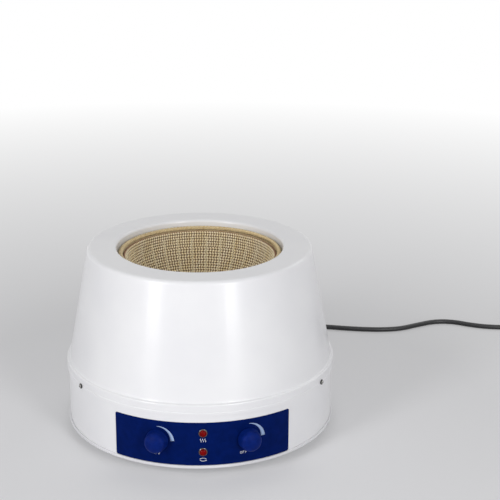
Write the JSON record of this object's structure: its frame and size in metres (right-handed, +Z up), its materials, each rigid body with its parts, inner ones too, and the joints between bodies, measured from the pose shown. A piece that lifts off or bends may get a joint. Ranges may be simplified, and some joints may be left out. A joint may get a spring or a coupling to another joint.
{
  "type": "heating mantle",
  "caption": "Round bench heating mantle with a woven hemispherical basket for a round-bottom flask, a built-in magnetic stirrer, a curved control panel with knobs and lamps, and a mains cord.",
  "frame": {"origin": "on the mantle's axis, on the surface that its feet stand on", "axes": "+Z up along the basket's axis, -Y towards the control panel, +X to the right of someone facing the panel"},
  "size_m": [0.6947, 0.5136, 0.2141],
  "materials": {
    "powder_coat": "glossy cool-white powder coat on aluminium sheet",
    "plate_coat": "pale grey powder coat on steel sheet",
    "zinc_steel": "zinc-plated steel",
    "bright_steel": "bright nickel-plated screw heads",
    "bowl_aluminium": "plain spun and machined aluminium",
    "motor_steel": "black enamelled motor can",
    "mineral_wool": "matted mineral fibre",
    "glass_cloth": "plain woven glass cloth",
    "glass_yarn": "knitted glass yarn round heating wire, golden tan",
    "lacing_thread": "twisted glass thread",
    "foot_rubber": "moulded black rubber",
    "panel_film": "navy screen-printed polyester film",
    "knob_plastic": "moulded navy plastic, satin",
    "red_lens": "moulded clear red plastic",
    "bezel_chrome": "bright plated turned brass",
    "magnet_ceramic": "sintered ferrite",
    "board_laminate": "green solder-masked glass laminate",
    "ivory_plastic": "moulded ivory plastic",
    "component_plastic": "moulded component cases",
    "black_plastic": "moulded black plastic",
    "black_rubber": "moulded black strain relief",
    "cord_jacket": "black flexible cord jacket",
    "pin_brass": "machined brass"
  },
  "bodies": {
    "root": {"upper_housing": "powder_coat", "base_shell": "powder_coat", "bottom_plate": "plate_coat", "divider_plate": "zinc_steel", "inner_bowl": "bowl_aluminium", "insulation": "mineral_wool", "basket_liner": "glass_cloth", "heating_basket": "glass_yarn", "basket_lacing": "lacing_thread", "basket_hem": "glass_yarn", "tie_rods": "zinc_steel", "rod_nuts": "zinc_steel", "housing_screws": "bright_steel", "housing_nuts": "zinc_steel", "divider_screws": "zinc_steel", "divider_nuts": "zinc_steel", "base_screws": "zinc_steel", "base_nuts": "zinc_steel", "rubber_feet": "foot_rubber", "foot_screws": "zinc_steel", "foot_nuts": "zinc_steel", "panel_overlay": "panel_film", "heat_pot": "bowl_aluminium", "stir_pot": "bowl_aluminium", "pot_washers": "zinc_steel", "pot_nuts": "zinc_steel", "heat_lamp": "red_lens", "stir_lamp": "red_lens", "lamp_bezels": "bezel_chrome", "lamp_nuts": "zinc_steel", "stirrer_motor": "motor_steel", "motor_screws": "zinc_steel", "circuit_board": "board_laminate", "board_standoffs": "ivory_plastic", "board_screws": "zinc_steel", "board_parts": "component_plastic", "heat_sink": "bowl_aluminium", "terminal_block": "ivory_plastic", "fuse_holder": "black_plastic", "fuse_cap": "black_plastic", "fuse_nut": "black_plastic", "cord_gland": "black_rubber", "gland_nut": "black_plastic", "power_cord": "cord_jacket", "cord_coil": "cord_jacket", "cord_tail": "cord_jacket", "plug_body": "cord_jacket", "plug_pins": "pin_brass"},
    "heat_dial": {"heat_spindle": "bowl_aluminium", "heat_knob": "knob_plastic"},
    "stir_dial": {"stir_spindle": "bowl_aluminium", "stir_knob": "knob_plastic"},
    "stirrer": {"motor_shaft": "zinc_steel", "magnet_arm": "bowl_aluminium", "magnets": "magnet_ceramic", "arm_set_screw": "zinc_steel"}
  },
  "joints": [
    {"name": "heat_knob_turn", "type": "hinge", "parent": "root", "child": "heat_dial", "pos_m": [-0.05077, -0.15173, 0.0415], "axis": [0.3173, 0.9483, 0], "range_deg": [0, 300]},
    {"name": "stir_knob_turn", "type": "hinge", "parent": "root", "child": "stir_dial", "pos_m": [0.05077, -0.15173, 0.0415], "axis": [-0.3173, 0.9483, 0], "range_deg": [0, 300]},
    {"name": "stirrer_spin", "type": "hinge", "parent": "root", "child": "stirrer", "pos_m": [0, 0, 0.09], "axis": [0, 0, 1], "continuous": true}
  ]
}
